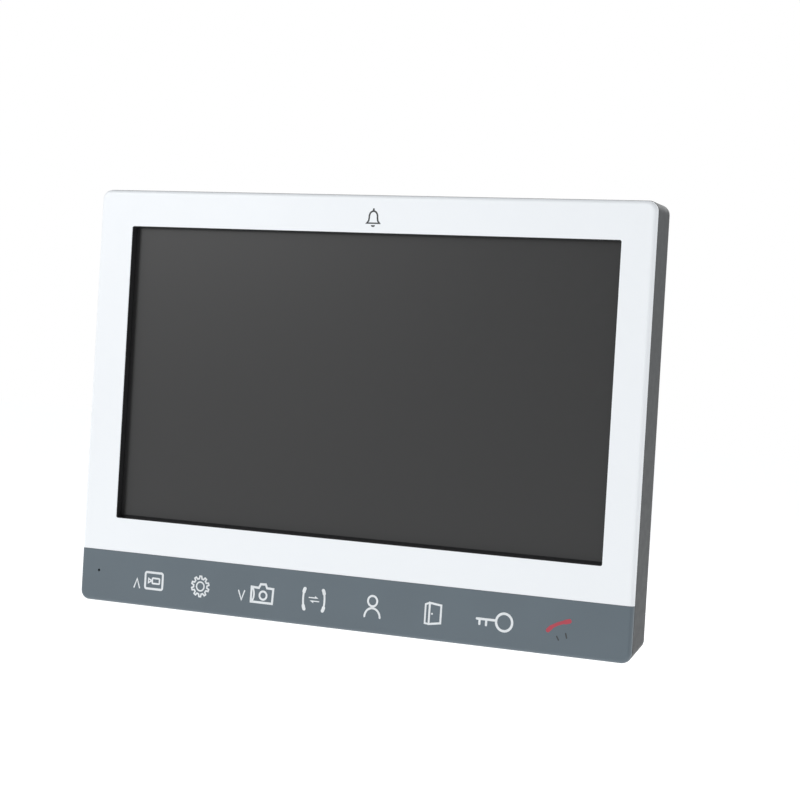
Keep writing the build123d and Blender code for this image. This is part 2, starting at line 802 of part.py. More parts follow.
def lcd_flex_films():
    """Films that wrap from the panel's ledge round the module's lower edge to the driver board."""
    films = []
    near = behind(panel_front + panel_glass - flex_thickness / 2)
    far = behind(driver_board_rear + flex_thickness / 2)
    below = module_z[0] - flex_hang
    for centre in flex_centres:
        points = [(centre, near, module_z[0] + frame_gauge + panel_gap + flex_lap), (centre, near, below),
                  (centre, far, below), (centre, far, driver_board_z[0] + flex_lap)]
        films.append(swept(points, flex_bend, Rectangle(flex_width, flex_thickness), (1, 0, 0)))
    return films


def lcd_straps():
    y = (behind(module_rear), behind(module_rear + strap_thickness))
    straps = []
    for side in (-1, 1):
        outer = case_screw_x + boss_radius
        x = tuple(sorted((side * outer, side * (outer - strap_width))))
        strap = plate(x, y, grow(strap_screw_z, strap_end), strap_corner)
        for screw_x, screw_z in strap_screws:
            strap -= rod(screw_x, screw_z, grow(y, 1), small_screw_radius + clearance_gap)
        straps.append(strap)
    return straps


def small_screw(x, z, seat, length, heads_to):
    return pan_screw(x, z, seat, length, small_screw_radius, small_head_radius, small_head_height, heads_to)


def strap_screw_group():
    seat = behind(module_rear + strap_thickness)
    return [small_screw(x, z, seat, strap_screw_length, 1) for x, z in strap_screws]


# ------------------------------------------------------------------ main board and what is soldered on it
def main_board():
    y = (behind(board_front), behind(board_rear))
    part = plate(main_board_x, y, main_board_z, board_corner)
    for x, z in board_screws:
        part -= rod(x, z, grow(y, 1), small_screw_radius + clearance_gap)
    return part


def board_spacers():
    y = (behind(module_rear), behind(board_front))
    return [rod(x, z, y, spacer_radius) - rod(x, z, grow(y, 1), small_hole_radius) for x, z in board_screws]


def board_screw_group():
    length = board_thickness + spacer_height - board_screw_end_gap
    return [small_screw(x, z, behind(board_rear), length, 1) for x, z in board_screws]


def on_board(x, z, width, height, thickness):
    """A flat component on the main board's wall side."""
    return block(about(x, width), (behind(board_rear), behind(board_rear + thickness)), about(z, height))


def main_processor():
    body = on_board(0, processor_z, processor_size, processor_size, processor_height)
    mark_x = -processor_size / 2 + processor_mark_inset
    mark_z = processor_z + processor_size / 2 - processor_mark_inset
    mark_y = (behind(board_rear + processor_height - 0.1), behind(board_rear + processor_height) + 1)
    return body - rod(mark_x, mark_z, mark_y, processor_mark_radius)


def memory_chips():
    return [on_board(side * memory_x, processor_z, *memory_size, memory_height) for side in (-1, 1)]


def shield_can():
    inner = [size - 2 * shield_gauge for size in shield_size]
    can = on_board(*shield_centre, *shield_size, shield_height)
    return can - on_board(*shield_centre, *inner, shield_height - shield_gauge)


def small_chips():
    return [on_board(x, z, width, height, small_chip_height) for x, z, width, height in small_chip_places]


def power_inductors():
    parts = []
    for number in range(inductor_count):
        z = main_board_z[1] - tall_from_top - number * inductor_pitch
        coil = on_board(tall_x, z, inductor_size, inductor_size, inductor_height)
        parts.append(chamfer(coil.faces().sort_by(Axis.Y)[-1].edges(), inductor_chamfer))
    return parts


def board_capacitors():
    parts = []
    first_z = main_board_z[1] - tall_from_top - inductor_count * inductor_pitch
    for number in range(capacitor_count):
        z = first_z - number * capacitor_pitch
        base = on_board(tall_x, z, capacitor_size, capacitor_size, capacitor_base)
        can_y = (behind(board_rear + capacitor_base), behind(board_rear + capacitor_height))
        can = rod(tall_x, z, can_y, capacitor_radius)
        parts.append(base + fillet(can.faces().sort_by(Axis.Y)[-1].edges(), capacitor_round))
    return parts


def cell_holder():
    tray = on_board(*cell_place, cell_tray_size, cell_tray_size, cell_tray_height)
    well_y = (behind(board_rear + cell_tray_floor), behind(board_rear + cell_tray_height) + 1)
    return tray - rod(*cell_place, well_y, cell_radius + cell_gap)


def clock_cell():
    low = board_rear + cell_tray_floor
    disc = rod(*cell_place, (behind(low), behind(low + cell_thickness)), cell_radius)
    return fillet(disc.faces().sort_by(Axis.Y)[-1].edges(), cell_round)


def ribbon_socket(x, z, rear):
    """A socket that stands on a board whose wall side lies this far behind the front face."""
    return block(x, (behind(rear), behind(rear + socket_height)), z)


def ribbon_sockets():
    """Sockets on the main board, the side board, the touch board and the display's driver board."""
    length = ribbon_width + 2 * socket_end
    low_z = (ribbon_low_z, ribbon_low_z + socket_depth)
    side_z = about(side_ribbon_z, length)
    main_x = (main_board_x[0] + socket_inset, main_board_x[0] + socket_inset + socket_depth)
    side_x = (side_board_x[1] - socket_inset - socket_depth, side_board_x[1] - socket_inset)
    driver_z = (driver_board_z[1] - socket_inset - socket_depth, driver_board_z[1] - socket_inset)
    touch_z = about(up(touch_socket_up), socket_depth)
    return [
        ribbon_socket(about(touch_ribbon_x, length), low_z, board_rear),
        ribbon_socket(about(lcd_ribbon_x, length), low_z, board_rear),
        ribbon_socket(main_x, side_z, board_rear),
        ribbon_socket(side_x, side_z, board_rear),
        ribbon_socket(about(touch_ribbon_x, length), touch_z, touch_board_rear),
        ribbon_socket(about(lcd_ribbon_x, length), driver_z, driver_board_rear),
    ]


def ribbon_run(x):
    """The last stretch of a ribbon that comes up from below to the main board's lower edge."""
    near = behind(driver_board_rear + socket_height / 2)
    far = behind(board_rear + socket_height / 2)
    gap = main_board_z[0] - driver_board_z[1]
    return [(x, near, driver_board_z[1] + 0.45 * gap), (x, far, driver_board_z[1] + 0.8 * gap),
            (x, far, ribbon_low_z)]


def lcd_ribbon():
    start = behind(driver_board_rear + socket_height / 2)
    points = [(lcd_ribbon_x, start, driver_board_z[1] - socket_inset)] + ribbon_run(lcd_ribbon_x)
    return swept(points, ribbon_bend, Rectangle(ribbon_width, ribbon_thickness), (1, 0, 0))


def touch_ribbon():
    start = behind(touch_board_rear + socket_height / 2)
    middle = behind(driver_board_rear + socket_height / 2)
    low = up(touch_socket_up) + socket_depth / 2
    x = touch_ribbon_x
    points = [(x, start, low), (x, start, low + touch_ribbon_rise),
              (x, middle, module_z[0] - touch_ribbon_drop)] + ribbon_run(x)
    return swept(points, ribbon_bend, Rectangle(ribbon_width, ribbon_thickness), (1, 0, 0))


# ------------------------------------------------------------------ connectors in the bay
def header_layout():
    """Left edge and pin count of each header, spread about the bay's middle."""
    x = -headers_width / 2
    places = []
    for count, width in zip(header_pin_counts, header_widths):
        places.append((x, count))
        x += width + header_gap
    return places


def header(x, pins):
    """An open-topped socket housing with its square pins, as two kinds of solid."""
    y = (behind(board_rear), behind(board_rear + header_height))
    span = (x, x + pins * pin_pitch + 2 * header_wall)
    housing = block(span, y, header_z)
    housing -= block(grow(span, -header_wall), (y[0] + header_floor, y[1] + 1), grow(header_z, -header_wall))
    notch_z = (header_z[0] - 1, header_z[0] + header_wall + 0.1)
    housing -= block(grow(span, -header_notch_side), (y[0] + header_notch_floor, y[1] + 1), notch_z)
    posts = []
    for number in range(pins):
        side = about(x + header_wall + pin_pitch * (number + 0.5), pin_side)
        post_y = (y[0] + header_floor, y[1] - pin_below_rim)
        posts.append(block(side, post_y, about(sum(header_z) / 2, pin_side)))
    return housing, posts


def door_headers():
    return [header(x, pins)[0] for x, pins in header_layout()[:-1]]


def power_header():
    x, pins = header_layout()[-1]
    return header(x, pins)[0]


def header_pins():
    return [post for x, pins in header_layout() for post in header(x, pins)[1]]


# ------------------------------------------------------------------ side board: power switch and card socket
def side_board():
    y = (behind(board_front), behind(board_rear))
    part = plate(side_board_x, y, side_board_z, side_board_corner)
    for x, z in side_board_pins:
        part -= rod(x, z, grow(y, 1), pin_radius + pin_gap)
    return part


def switch_knob_y():
    return about(behind(board_rear + switch_body_depth / 2), knob_thickness)


def power_switch_body():
    near = side_board_x[0] + switch_body_from_edge
    middle = switch_z + switch_travel / 2
    y = (behind(board_rear), behind(board_rear + switch_body_depth))
    part = block((near, near + switch_body_width), y, about(middle, switch_body_length))
    pocket_x = (near - 1, near + switch_pocket_depth)
    pocket_z = about(middle, knob_height + switch_travel + 2 * switch_pocket_gap)
    return part - block(pocket_x, grow(switch_knob_y(), switch_pocket_gap), pocket_z)


def power_switch_knob():
    x = (-half_width - knob_proud, side_board_x[0] + knob_root)
    body = block(x, switch_knob_y(), about(switch_z, knob_height))
    body = fillet(body.faces().sort_by(Axis.X)[0].edges(), knob_round)
    for step in (-1, 0, 1):
        groove_z = about(switch_z + step * knob_groove_pitch, knob_groove[1])
        body -= block((x[0] - 1, x[0] + knob_groove[0]), grow(switch_knob_y(), 1), groove_z)
    return body


def memory_card_socket():
    x = (side_board_x[0], side_board_x[0] + card_socket_length)
    y = (behind(board_rear), behind(board_rear + card_slot_height + 2 * card_slot_up))
    shell = block(x, y, about(card_z, card_socket_width))
    mouth_x = (x[0] - 1, x[1] - card_socket_back)
    return shell - block(mouth_x, grow(y, -card_slot_up), about(card_z, card_width + card_gap))


def side_ribbon():
    middle = behind(board_rear + socket_height / 2)
    rise = behind(board_rear + socket_height / 2 + side_ribbon_rise)
    x = (side_board_x[1] - socket_inset, main_board_x[0] + socket_inset)
    z = side_ribbon_z
    slope = (x[1] - x[0]) / 4
    points = [(x[0], middle, z), (x[0] + side_ribbon_straight, middle, z),
              (x[0] + side_ribbon_straight + slope, rise, z), (x[1] - side_ribbon_straight - slope, rise, z),
              (x[1] - side_ribbon_straight, middle, z), (x[1], middle, z)]
    return swept(points, side_ribbon_bend, Rectangle(ribbon_thickness, ribbon_width), (0, 1, 0))


# ------------------------------------------------------------------ touch keys
def touch_board():
    y = (behind(front_thickness), behind(touch_board_rear))
    low = lip_span()[1][0] + lip_wall + touch_board_gap
    high = up(strip_height - lap_height - fit_gap - touch_board_gap)
    part = plate(touch_board_x, y, (low, high), touch_board_corner)
    for key in key_places:
        part -= rod(key, up(key_height), grow(y, 1), key_light_hole)
    return part


def key_leds():
    width, depth, height = key_led_size
    y = (behind(touch_board_rear), behind(touch_board_rear + depth))
    return [block(about(key, width), y, about(up(key_height), height)) for key in key_places]


def touch_controller():
    width, depth, height = touch_controller_size
    y = (behind(touch_board_rear), behind(touch_board_rear + depth))
    return block(about(touch_controller_x, width), y, about(up(touch_controller_up), height))


# ------------------------------------------------------------------ sound
def microphone():
    return rod(*microphone_place, (behind(microphone_front), behind(microphone_rear)), microphone_radius)


def microphone_boot():
    y = (behind(front_thickness), behind(microphone_rear - boot_back_step))
    outer = rod(*microphone_place, y, microphone_radius + boot_wall)
    outer -= rod(*microphone_place, (behind(microphone_front), behind(microphone_rear)), microphone_radius)
    return outer - rod(*microphone_place, (behind(0), behind(microphone_rear)), boot_hole)


def microphone_lead():
    x, z = microphone_place
    z += microphone_lead_above
    far = behind(microphone_rear + microphone_lead_loop)
    end_x = touch_board_x[0] + microphone_lead_lap
    points = [(x, behind(microphone_rear), z), (x, far, z), (end_x, far, z),
              (end_x, behind(touch_board_rear), z)]
    return swept(points, microphone_lead_bend, Circle(lead_radius), (1, 0, 0))


def at_speaker(y, radius):
    """A round bar about the speaker's axis."""
    return rod(speaker_x, speaker_centre_z, y, radius)


def speaker_frame():
    y = (behind(speaker_front), behind(speaker_rear))
    part = at_speaker(y, speaker_radius)
    part -= at_speaker((y[0] + speaker_frame_floor, y[1] + 1), speaker_radius - speaker_frame_wall)
    return part - at_speaker(grow(y, 1), speaker_frame_hole)


def speaker_magnet():
    disc = at_speaker((behind(magnet_front), behind(speaker_front)), speaker_magnet_radius)
    return fillet(disc.faces().sort_by(Axis.Y)[0].edges(), 0.5)


def speaker_cone():
    """A shallow dish with a flat middle, turned about the speaker's axis."""
    outer = speaker_radius - speaker_frame_wall - cone_gap
    rim = speaker_frame_height - cone_below_rim
    middle = rim - cone_rise
    profile = Polyline((0, middle), (cone_middle, middle), (outer - cone_edge, rim), (outer, rim),
                       (outer, rim + cone_sheet), (outer - cone_edge - cone_gap, rim + cone_sheet),
                       (cone_middle + cone_gap, middle + cone_sheet), (0, middle + cone_sheet), (0, middle))
    dish = revolve(Plane.XZ * make_face(profile), Axis.Z)
    return Pos(speaker_x, behind(speaker_front), speaker_centre_z) * Rot(-90, 0, 0) * dish


def speaker_gasket():
    y = (behind(speaker_rear), behind(cover_inner))
    return at_speaker(y, speaker_radius) - at_speaker(grow(y, 1), speaker_radius - speaker_gasket_width)


def speaker_retainer():
    y = (behind(magnet_front - retainer_thickness), behind(magnet_front))
    x = grow(about(speaker_x, 2 * retainer_reach), retainer_end)
    bar = plate(x, y, about(speaker_centre_z, 2 * retainer_end), retainer_corner)
    for screw_x in about(speaker_x, 2 * retainer_reach):
        bar -= rod(screw_x, speaker_centre_z, grow(y, 1), small_screw_radius + clearance_gap)
    return bar


def retainer_screws():
    seat = behind(magnet_front - retainer_thickness)
    return [small_screw(x, speaker_centre_z, seat, retainer_screw_length, -1)
            for x in about(speaker_x, 2 * retainer_reach)]


def speaker_lead():
    start = behind(speaker_front + speaker_lead_front)
    end = behind(board_rear + speaker_lead_rise)
    z = speaker_centre_z + speaker_lead_above
    x = speaker_x + (speaker_radius ** 2 - (speaker_lead_above - lead_radius) ** 2) ** 0.5 + speaker_lead_gap
    stop = main_board_x[0] + socket_inset
    points = [(x, start, z), (x + speaker_lead_stub, start, z),
              (stop - speaker_lead_stub, end, speaker_socket_z), (stop, end, speaker_socket_z)]
    return swept(points, speaker_lead_bend, Circle(lead_radius), (0, 0, 1))


def speaker_socket():
    near = main_board_x[0] + socket_inset
    y = (behind(board_rear), behind(board_rear + speaker_socket_height))
    return block((near, near + speaker_socket_depth), y, about(speaker_socket_z, speaker_socket_width))


# ------------------------------------------------------------------ fasteners, label, bracket
def case_screw_group():
    seat = behind(boss_rear + pillar_gap + pillar_floor)
    length = case_screw_length + pillar_floor - case_screw_hole_past
    return [pan_screw(x, z, seat, length, case_screw_radius, head_radius, head_height, 1)
            for x, z in case_screws + strip_screws]


def rating_plate():
    x, z = [grow(span, -label_edge_gap) for span in label_recess()]
    y = (rear_y - label_recess_depth, rear_y - label_face_gap)
    return plate(x, y, z, label_recess_corner - label_edge_gap)


def wall_bracket():
    x = about(0, bracket_width)
    z = about(0, bracket_height)
    through = (-bracket_gauge - 1, 1.0)
    part = plate(x, (-bracket_gauge, 0.0), z, bracket_corner)
    part -= plate(about(0, wire_window_width), through, about(0, wire_window_height), wire_window_corner)
    for screw_z in about(0, box_screw_spacing):
        part -= rod(0, screw_z, through, box_screw_radius)
    for screw_x in grow(x, -wall_screw_side_inset):
        for screw_z in grow(z, -wall_screw_end_inset):
            part -= rod(screw_x, screw_z, through, wall_screw_radius)
    # four hooks, each a leg and a lip bent out of the plate
    lip_front = recess_inner_y - hook_face_gap - bracket_gauge
    for centre in hook_centres:
        for low in hook_lows:
            span = about(centre, hook_width)
            leg_top = low + bracket_gauge
            part -= block(grow(span, hook_blank_gap), through, (leg_top, low - lip_front + hook_lip))
            part += block(span, (lip_front, 0.0), (low, leg_top))
            part += block(span, (lip_front, lip_front + bracket_gauge), (low, leg_top + hook_lip))
    return part


# ------------------------------------------------------------------ files, one per node
nodes = {
    "front_bezel": front_bezel,
    "touch_strip_cover": touch_strip_cover,
    "rear_cover": rear_cover,
    "display_gasket": display_gasket,
    "lcd_front_frame": lcd_front_frame,
    "lcd_panel": lcd_panel,
    "lcd_mid_frame": lcd_mid_frame,
    "optical_films": optical_films,
    "light_guide": light_guide,
    "reflector_sheet": reflector_sheet,
    "backlight_strip": backlight_strip,
    "backlight_leds": backlight_leds,
    "lcd_rear_plate": lcd_rear_plate,
    "lcd_driver_board": lcd_driver_board,
    "lcd_flex_films": lcd_flex_films,
    "lcd_straps": lcd_straps,
    "strap_screws": strap_screw_group,
    "main_board": main_board,
    "board_spacers": board_spacers,
    "board_screws": board_screw_group,
    "main_processor": main_processor,
    "memory_chips": memory_chips,
    "shield_can": shield_can,
    "small_chips": small_chips,
    "power_inductors": power_inductors,
    "board_capacitors": board_capacitors,
    "cell_holder": cell_holder,
    "clock_cell": clock_cell,
    "ribbon_sockets": ribbon_sockets,
    "lcd_ribbon": lcd_ribbon,
    "touch_ribbon": touch_ribbon,
    "door_headers": door_headers,
    "power_header": power_header,
    "header_pins": header_pins,
    "side_board": side_board,
    "power_switch_body": power_switch_body,
    "power_switch_knob": power_switch_knob,
    "memory_card_socket": memory_card_socket,
    "side_ribbon": side_ribbon,
    "touch_board": touch_board,
    "key_leds": key_leds,
    "touch_controller": touch_controller,
    "microphone": microphone,
    "microphone_boot": microphone_boot,
    "microphone_lead": microphone_lead,
    "speaker_frame": speaker_frame,
    "speaker_magnet": speaker_magnet,
    "speaker_cone": speaker_cone,
    "speaker_gasket": speaker_gasket,
    "speaker_retainer": speaker_retainer,
    "retainer_screws": retainer_screws,
    "speaker_lead": speaker_lead,
    "speaker_socket": speaker_socket,
    "case_screws": case_screw_group,
    "rating_plate": rating_plate,
    "wall_bracket": wall_bracket,
}

os.makedirs("parts", exist_ok=True)
for name, make in nodes.items():
    shape = make()
    pieces = shape if isinstance(shape, list) else [shape]
    solids = [solid for piece in pieces for solid in piece.solids()]
    export_step(Compound(children=solids), f"parts/{name}.step")
    print(name, len(solids))
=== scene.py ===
import json
import math

import bmesh
import bpy
from mathutils import Matrix, Vector


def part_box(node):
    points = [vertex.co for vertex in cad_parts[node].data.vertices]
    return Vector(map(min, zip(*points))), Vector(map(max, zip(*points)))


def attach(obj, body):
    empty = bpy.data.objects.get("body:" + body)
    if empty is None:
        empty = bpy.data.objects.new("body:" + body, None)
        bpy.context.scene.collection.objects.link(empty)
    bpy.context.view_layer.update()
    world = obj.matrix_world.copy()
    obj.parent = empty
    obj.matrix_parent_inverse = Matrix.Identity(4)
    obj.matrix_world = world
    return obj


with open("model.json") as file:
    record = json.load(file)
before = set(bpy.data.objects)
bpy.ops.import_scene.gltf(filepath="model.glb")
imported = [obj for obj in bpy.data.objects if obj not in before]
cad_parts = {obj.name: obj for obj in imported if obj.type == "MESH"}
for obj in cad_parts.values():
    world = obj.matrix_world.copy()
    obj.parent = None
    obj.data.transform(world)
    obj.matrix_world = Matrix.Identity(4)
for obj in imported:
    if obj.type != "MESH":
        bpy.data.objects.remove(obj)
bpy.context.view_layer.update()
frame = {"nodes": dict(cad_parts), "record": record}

NODES = frame["nodes"]
MM = 0.001
scene = bpy.context.scene


# ------------------------------------------------------------------ places, from the frame
def corners(node):
    """The low and high corners of a CAD node's box."""
    low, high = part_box(node)
    return Vector(low), Vector(high)


bezel_low, bezel_high = corners("front_bezel")
strip_low = corners("touch_strip_cover")[0]
front_y = bezel_low.y
strip_face_y = strip_low.y
case_bottom = strip_low.z
case_half_width = (bezel_high.x - bezel_low.x) / 2


# ------------------------------------------------------------------ camera
VIEW_AZIMUTH = math.radians(26.64)
VIEW_ELEVATION = math.radians(0.92)
VIEW_ROLL = math.radians(3.36)
VIEW_DISTANCE = 0.881
VIEW_TARGET = Vector((0.0226, front_y, case_bottom + 0.0951))
LENS = 98.5
SENSOR = 36.0


def make_camera():
    data = bpy.data.cameras.new("camera")
    data.lens = LENS
    data.sensor_width = SENSOR
    data.clip_start = 0.01
    data.clip_end = 50.0
    camera = bpy.data.objects.new("camera", data)
    scene.collection.objects.link(camera)
    back = Vector((math.sin(VIEW_AZIMUTH) * math.cos(VIEW_ELEVATION),
                   -math.cos(VIEW_AZIMUTH) * math.cos(VIEW_ELEVATION),
                   math.sin(VIEW_ELEVATION)))
    right = (-back).cross(Vector((0, 0, 1))).normalized()
    up = right.cross(-back)
    turn = Matrix.Rotation(VIEW_ROLL, 3, back)
    axes = Matrix((turn @ right, turn @ up, back)).transposed()
    camera.matrix_world = Matrix.Translation(VIEW_TARGET + back * VIEW_DISTANCE) @ axes.to_4x4()
    scene.camera = camera


make_camera()


# ------------------------------------------------------------------ lights, floor and world
def area_light(name, place, target, size, power):
    data = bpy.data.lights.new(name, "AREA")
    data.shape = "RECTANGLE"
    data.size, data.size_y = size
    data.energy = power
    light = bpy.data.objects.new(name, data)
    light.location = place
    light.rotation_euler = (Vector(target) - Vector(place)).to_track_quat("-Z", "Y").to_euler()
    light.visible_camera = False
    scene.collection.objects.link(light)


def make_lights():
    area_light("key_light", (-1.3, -1.2, 0.9), (0, 0, 0), (1.2, 1.2), 6.7)
    area_light("sheen_light", (-1.3, -1.7, 0.55), (-0.1, 0, 0), (0.7, 0.7), 5.0)
    area_light("back_light", (0.3, 1.5, 0.9), (0, 0, 0), (1.6, 1.0), 8)
    lower_corner = (case_half_width, 0, case_bottom)
    area_light("bounce_light", (0.5, 0.02, case_bottom - 0.06), lower_corner, (0.3, 0.3), 0.11)


AMBIENT = (0.49, 0.5, 0.515)  # light from all round; the camera sees plain white behind the object


def make_world():
    world = bpy.data.worlds.new("studio")
    world.use_nodes = True
    tree = world.node_tree
    background = tree.nodes["Background"]
    seen = tree.nodes.new("ShaderNodeLightPath").outputs["Is Camera Ray"]
    mix = tree.nodes.new("ShaderNodeMix")
    mix.data_type = "RGBA"
    mix.inputs["A"].default_value = (*AMBIENT, 1.0)
    mix.inputs["B"].default_value = (1.0, 1.0, 1.0, 1.0)
    tree.links.new(seen, mix.inputs["Factor"])
    tree.links.new(mix.outputs["Result"], background.inputs["Color"])
    background.inputs["Strength"].default_value = 1.0
    scene.world = world


FLOOR_SIDE = 12.0
FLOOR_BELOW = 0.12  # under the case's lowest edge


def make_floor():
    bpy.ops.mesh.primitive_plane_add(size=FLOOR_SIDE, location=(0, 0, case_bottom - FLOOR_BELOW))
    floor = bpy.context.object
    floor.name = "floor"
    material = bpy.data.materials.new("floor_white")
    material.use_nodes = True
    shader = material.node_tree.nodes["Principled BSDF"]
    shader.inputs["Base Color"].default_value = (0.9, 0.9, 0.9, 1)
    shader.inputs["Roughness"].default_value = 0.9
    shader.inputs["Emission Color"].default_value = (1, 1, 1, 1)
    shader.inputs["Emission Strength"].default_value = 0.55
    floor.data.materials.append(material)


make_lights()
make_world()
make_floor()
scene.view_settings.view_transform = "Standard"


# ------------------------------------------------------------------ materials
NOISE_LOW = 0.3  # most of a noise's values lie between these two
NOISE_HIGH = 0.7
ROUGHNESS_SPREAD = 0.06
SMOOTHEST = 0.05


class Finish:
    """A material under construction: a principled shader fed by noise in the object's own metres."""

    def __init__(self, name, colour, roughness, metallic=0.0):
        self.material = bpy.data.materials.new(name)
        self.material.use_nodes = True
        self.tree = self.material.node_tree
        self.shader = self.tree.nodes["Principled BSDF"]
        self.colour = (*colour, 1.0)
        self.shader.inputs["Base Color"].default_value = self.colour
        self.shader.inputs["Roughness"].default_value = roughness
        self.shader.inputs["Metallic"].default_value = metallic
        self.places = self.tree.nodes.new("ShaderNodeTexCoord").outputs["Object"]

    def node(self, kind, **values):
        made = self.tree.nodes.new(kind)
        for name, value in values.items():
            setattr(made, name, value)
        return made

    def noise(self, size, detail=2.0, stretch=(1, 1, 1)):
        """Noise whose features are about this size, in metres."""
        mapping = self.node("ShaderNodeMapping")
        mapping.inputs["Scale"].default_value = stretch
        self.tree.links.new(self.places, mapping.inputs["Vector"])
        noise = self.node("ShaderNodeTexNoise")
        noise.inputs["Scale"].default_value = 1.0 / size
        noise.inputs["Detail"].default_value = detail
        self.tree.links.new(mapping.outputs["Vector"], noise.inputs["Vector"])
        return noise.outputs["Fac"]

    def mapped(self, value, low, high):
        spread = self.node("ShaderNodeMapRange")
        spread.inputs["From Min"].default_value = NOISE_LOW
        spread.inputs["From Max"].default_value = NOISE_HIGH
        spread.inputs["To Min"].default_value = low
        spread.inputs["To Max"].default_value = high
        self.tree.links.new(value, spread.inputs["Value"])
        return spread.outputs["Result"]

    def vary_colour(self, size, low, high, **more):
        """The colour drifts between two shades of itself."""
        shade = self.mapped(self.noise(size, **more), low, high)
        mix = self.node("ShaderNodeMix", data_type="RGBA", blend_type="MULTIPLY")
        mix.inputs["Factor"].default_value = 1.0
        mix.inputs["A"].default_value = self.colour
        grey = self.node("ShaderNodeCombineColor")
        for channel in ("Red", "Green", "Blue"):
            self.tree.links.new(shade, grey.inputs[channel])
        self.tree.links.new(grey.outputs["Color"], mix.inputs["B"])
        self.tree.links.new(mix.outputs["Result"], self.shader.inputs["Base Color"])
        return self

    def vary_roughness(self, size, low, high, **more):
        self.tree.links.new(self.mapped(self.noise(size, **more), low, high), self.shader.inputs["Roughness"])
        return self

    def bump(self, size, depth, **more):
        """Relief of this feature size and depth, both in metres."""
        relief = self.node("ShaderNodeBump")
        relief.inputs["Strength"].default_value = 1.0
        relief.inputs["Distance"].default_value = depth
        self.tree.links.new(self.noise(size, **more), relief.inputs["Height"])
        self.tree.links.new(relief.outputs["Normal"], self.shader.inputs["Normal"])
        return self


def white_frame():
    """Satin white ABS."""
    finish = Finish("white_frame", (0.885, 0.91, 0.93), 0.32)
    finish.vary_colour(0.06, 0.985, 1.0)
    finish.vary_roughness(0.01, 0.28, 0.36)
    return finish.bump(0.0006, 0.000004).material


def key_strip():
    """Blue-grey satin key panel."""
    finish = Finish("key_strip", (0.106, 0.138, 0.161), 0.35)
    finish.vary_colour(0.04, 0.95, 1.03)
    finish.vary_roughness(0.008, 0.33, 0.37)
    return finish.bump(0.0005, 0.000002).material


def grey_case():
    """Dark grey ABS with a fine spark-eroded texture."""
    finish = Finish("grey_case", (0.041, 0.045, 0.046), 0.5)
    finish.vary_colour(0.02, 0.975, 1.015)
    finish.vary_roughness(0.003, 0.48, 0.56)
    return finish.bump(0.0007, 0.00002, detail=4.0).material


def screen_glass():
    """Dark anti-glare polariser, unlit."""
    finish = Finish("screen_glass", (0.0165, 0.0165, 0.0163), 0.3)
    finish.vary_colour(0.09, 0.97, 1.03)
    finish.vary_roughness(0.003, 0.32, 0.35)
    return finish.bump(0.00025, 0.000001).material


PLAIN_DRIFT = 0.008  # feature sizes, in metres
PLAIN_GRAIN = 0.002
PLAIN_RELIEF = 0.0008
PLAIN_SHADES = (0.94, 1.06)


def plain(name, colour, roughness, metallic=0.0, relief=0.00001):
    """The finish that most inner parts share."""
    finish = Finish(name, colour, roughness, metallic)
    finish.vary_colour(PLAIN_DRIFT, *PLAIN_SHADES)
    smoother = max(roughness - ROUGHNESS_SPREAD, SMOOTHEST)
    finish.vary_roughness(PLAIN_GRAIN, smoother, roughness + ROUGHNESS_SPREAD)
    return finish.bump(PLAIN_RELIEF, relief).material


def circuit_board():
    """Green solder mask over fine copper relief."""
    finish = Finish("circuit_board", (0.02, 0.12, 0.065), 0.35)
    finish.vary_colour(0.0015, 0.85, 1.12, detail=0.0)
    return finish.bump(0.0008, 0.00002, detail=0.0).material


def galvanised():
    """Sheet steel with faint zinc flowers and rolling lines."""
    finish = Finish("bracket_steel", (0.56, 0.57, 0.58), 0.38, metallic=1.0)
    finish.vary_colour(0.003, 0.96, 1.03, detail=0.5)
    finish.vary_roughness(0.0015, 0.34, 0.42, stretch=(1, 1, 12))
    return finish.bump(0.0008, 0.00001, stretch=(1, 1, 10)).material


MATERIALS = {
    "white_frame": white_frame(),
    "key_strip": key_strip(),
    "grey_case": grey_case(),
    "screen_glass": screen_glass(),
    "circuit_board": circuit_board(),
    "bracket_steel": galvanised(),
    "black_foam": plain("black_foam", (0.012, 0.012, 0.013), 0.9, relief=0.00008),
    "black_steel": plain("black_steel", (0.012, 0.012, 0.013), 0.6),
    "white_inner": plain("white_inner", (0.74, 0.77, 0.785), 0.5),
    "film": plain("film", (0.78, 0.79, 0.8), 0.4),
    "acrylic": plain("acrylic", (0.8, 0.84, 0.85), 0.15),
    "sheet_aluminium": plain("sheet_aluminium", (0.6, 0.61, 0.62), 0.4, metallic=1.0),
    "flex_film": plain("flex_film", (0.45, 0.2, 0.04), 0.35),
    "plated_steel": plain("plated_steel", (0.58, 0.58, 0.57), 0.35, metallic=1.0),
    "screw_steel": plain("screw_steel", (0.33, 0.33, 0.34), 0.35, metallic=1.0),
    "brass_part": plain("brass_part", (0.65, 0.48, 0.22), 0.3, metallic=1.0),
    "chip_black": plain("chip_black", (0.02, 0.02, 0.021), 0.55),
    "can_aluminium": plain("can_aluminium", (0.65, 0.65, 0.67), 0.3, metallic=1.0),
    "socket_plastic": plain("socket_plastic", (0.78, 0.75, 0.67), 0.45),
    "socket_red": plain("socket_red", (0.42, 0.045, 0.07), 0.45),
    "cell_steel": plain("cell_steel", (0.7, 0.7, 0.7), 0.2, metallic=1.0),
    "ribbon_white": plain("ribbon_white", (0.75, 0.78, 0.8), 0.4),
    "black_knob": plain("black_knob", (0.02, 0.02, 0.021), 0.45),
    "lead_sheath": plain("lead_sheath", (0.02, 0.02, 0.02), 0.5),
    "magnet_steel": plain("magnet_steel", (0.4, 0.4, 0.41), 0.35, metallic=1.0),
    "paper_cone": plain("paper_cone", (0.03, 0.03, 0.03), 0.85, relief=0.00006),
    "blank_label": plain("blank_label", (0.5, 0.51, 0.52), 0.35),
}


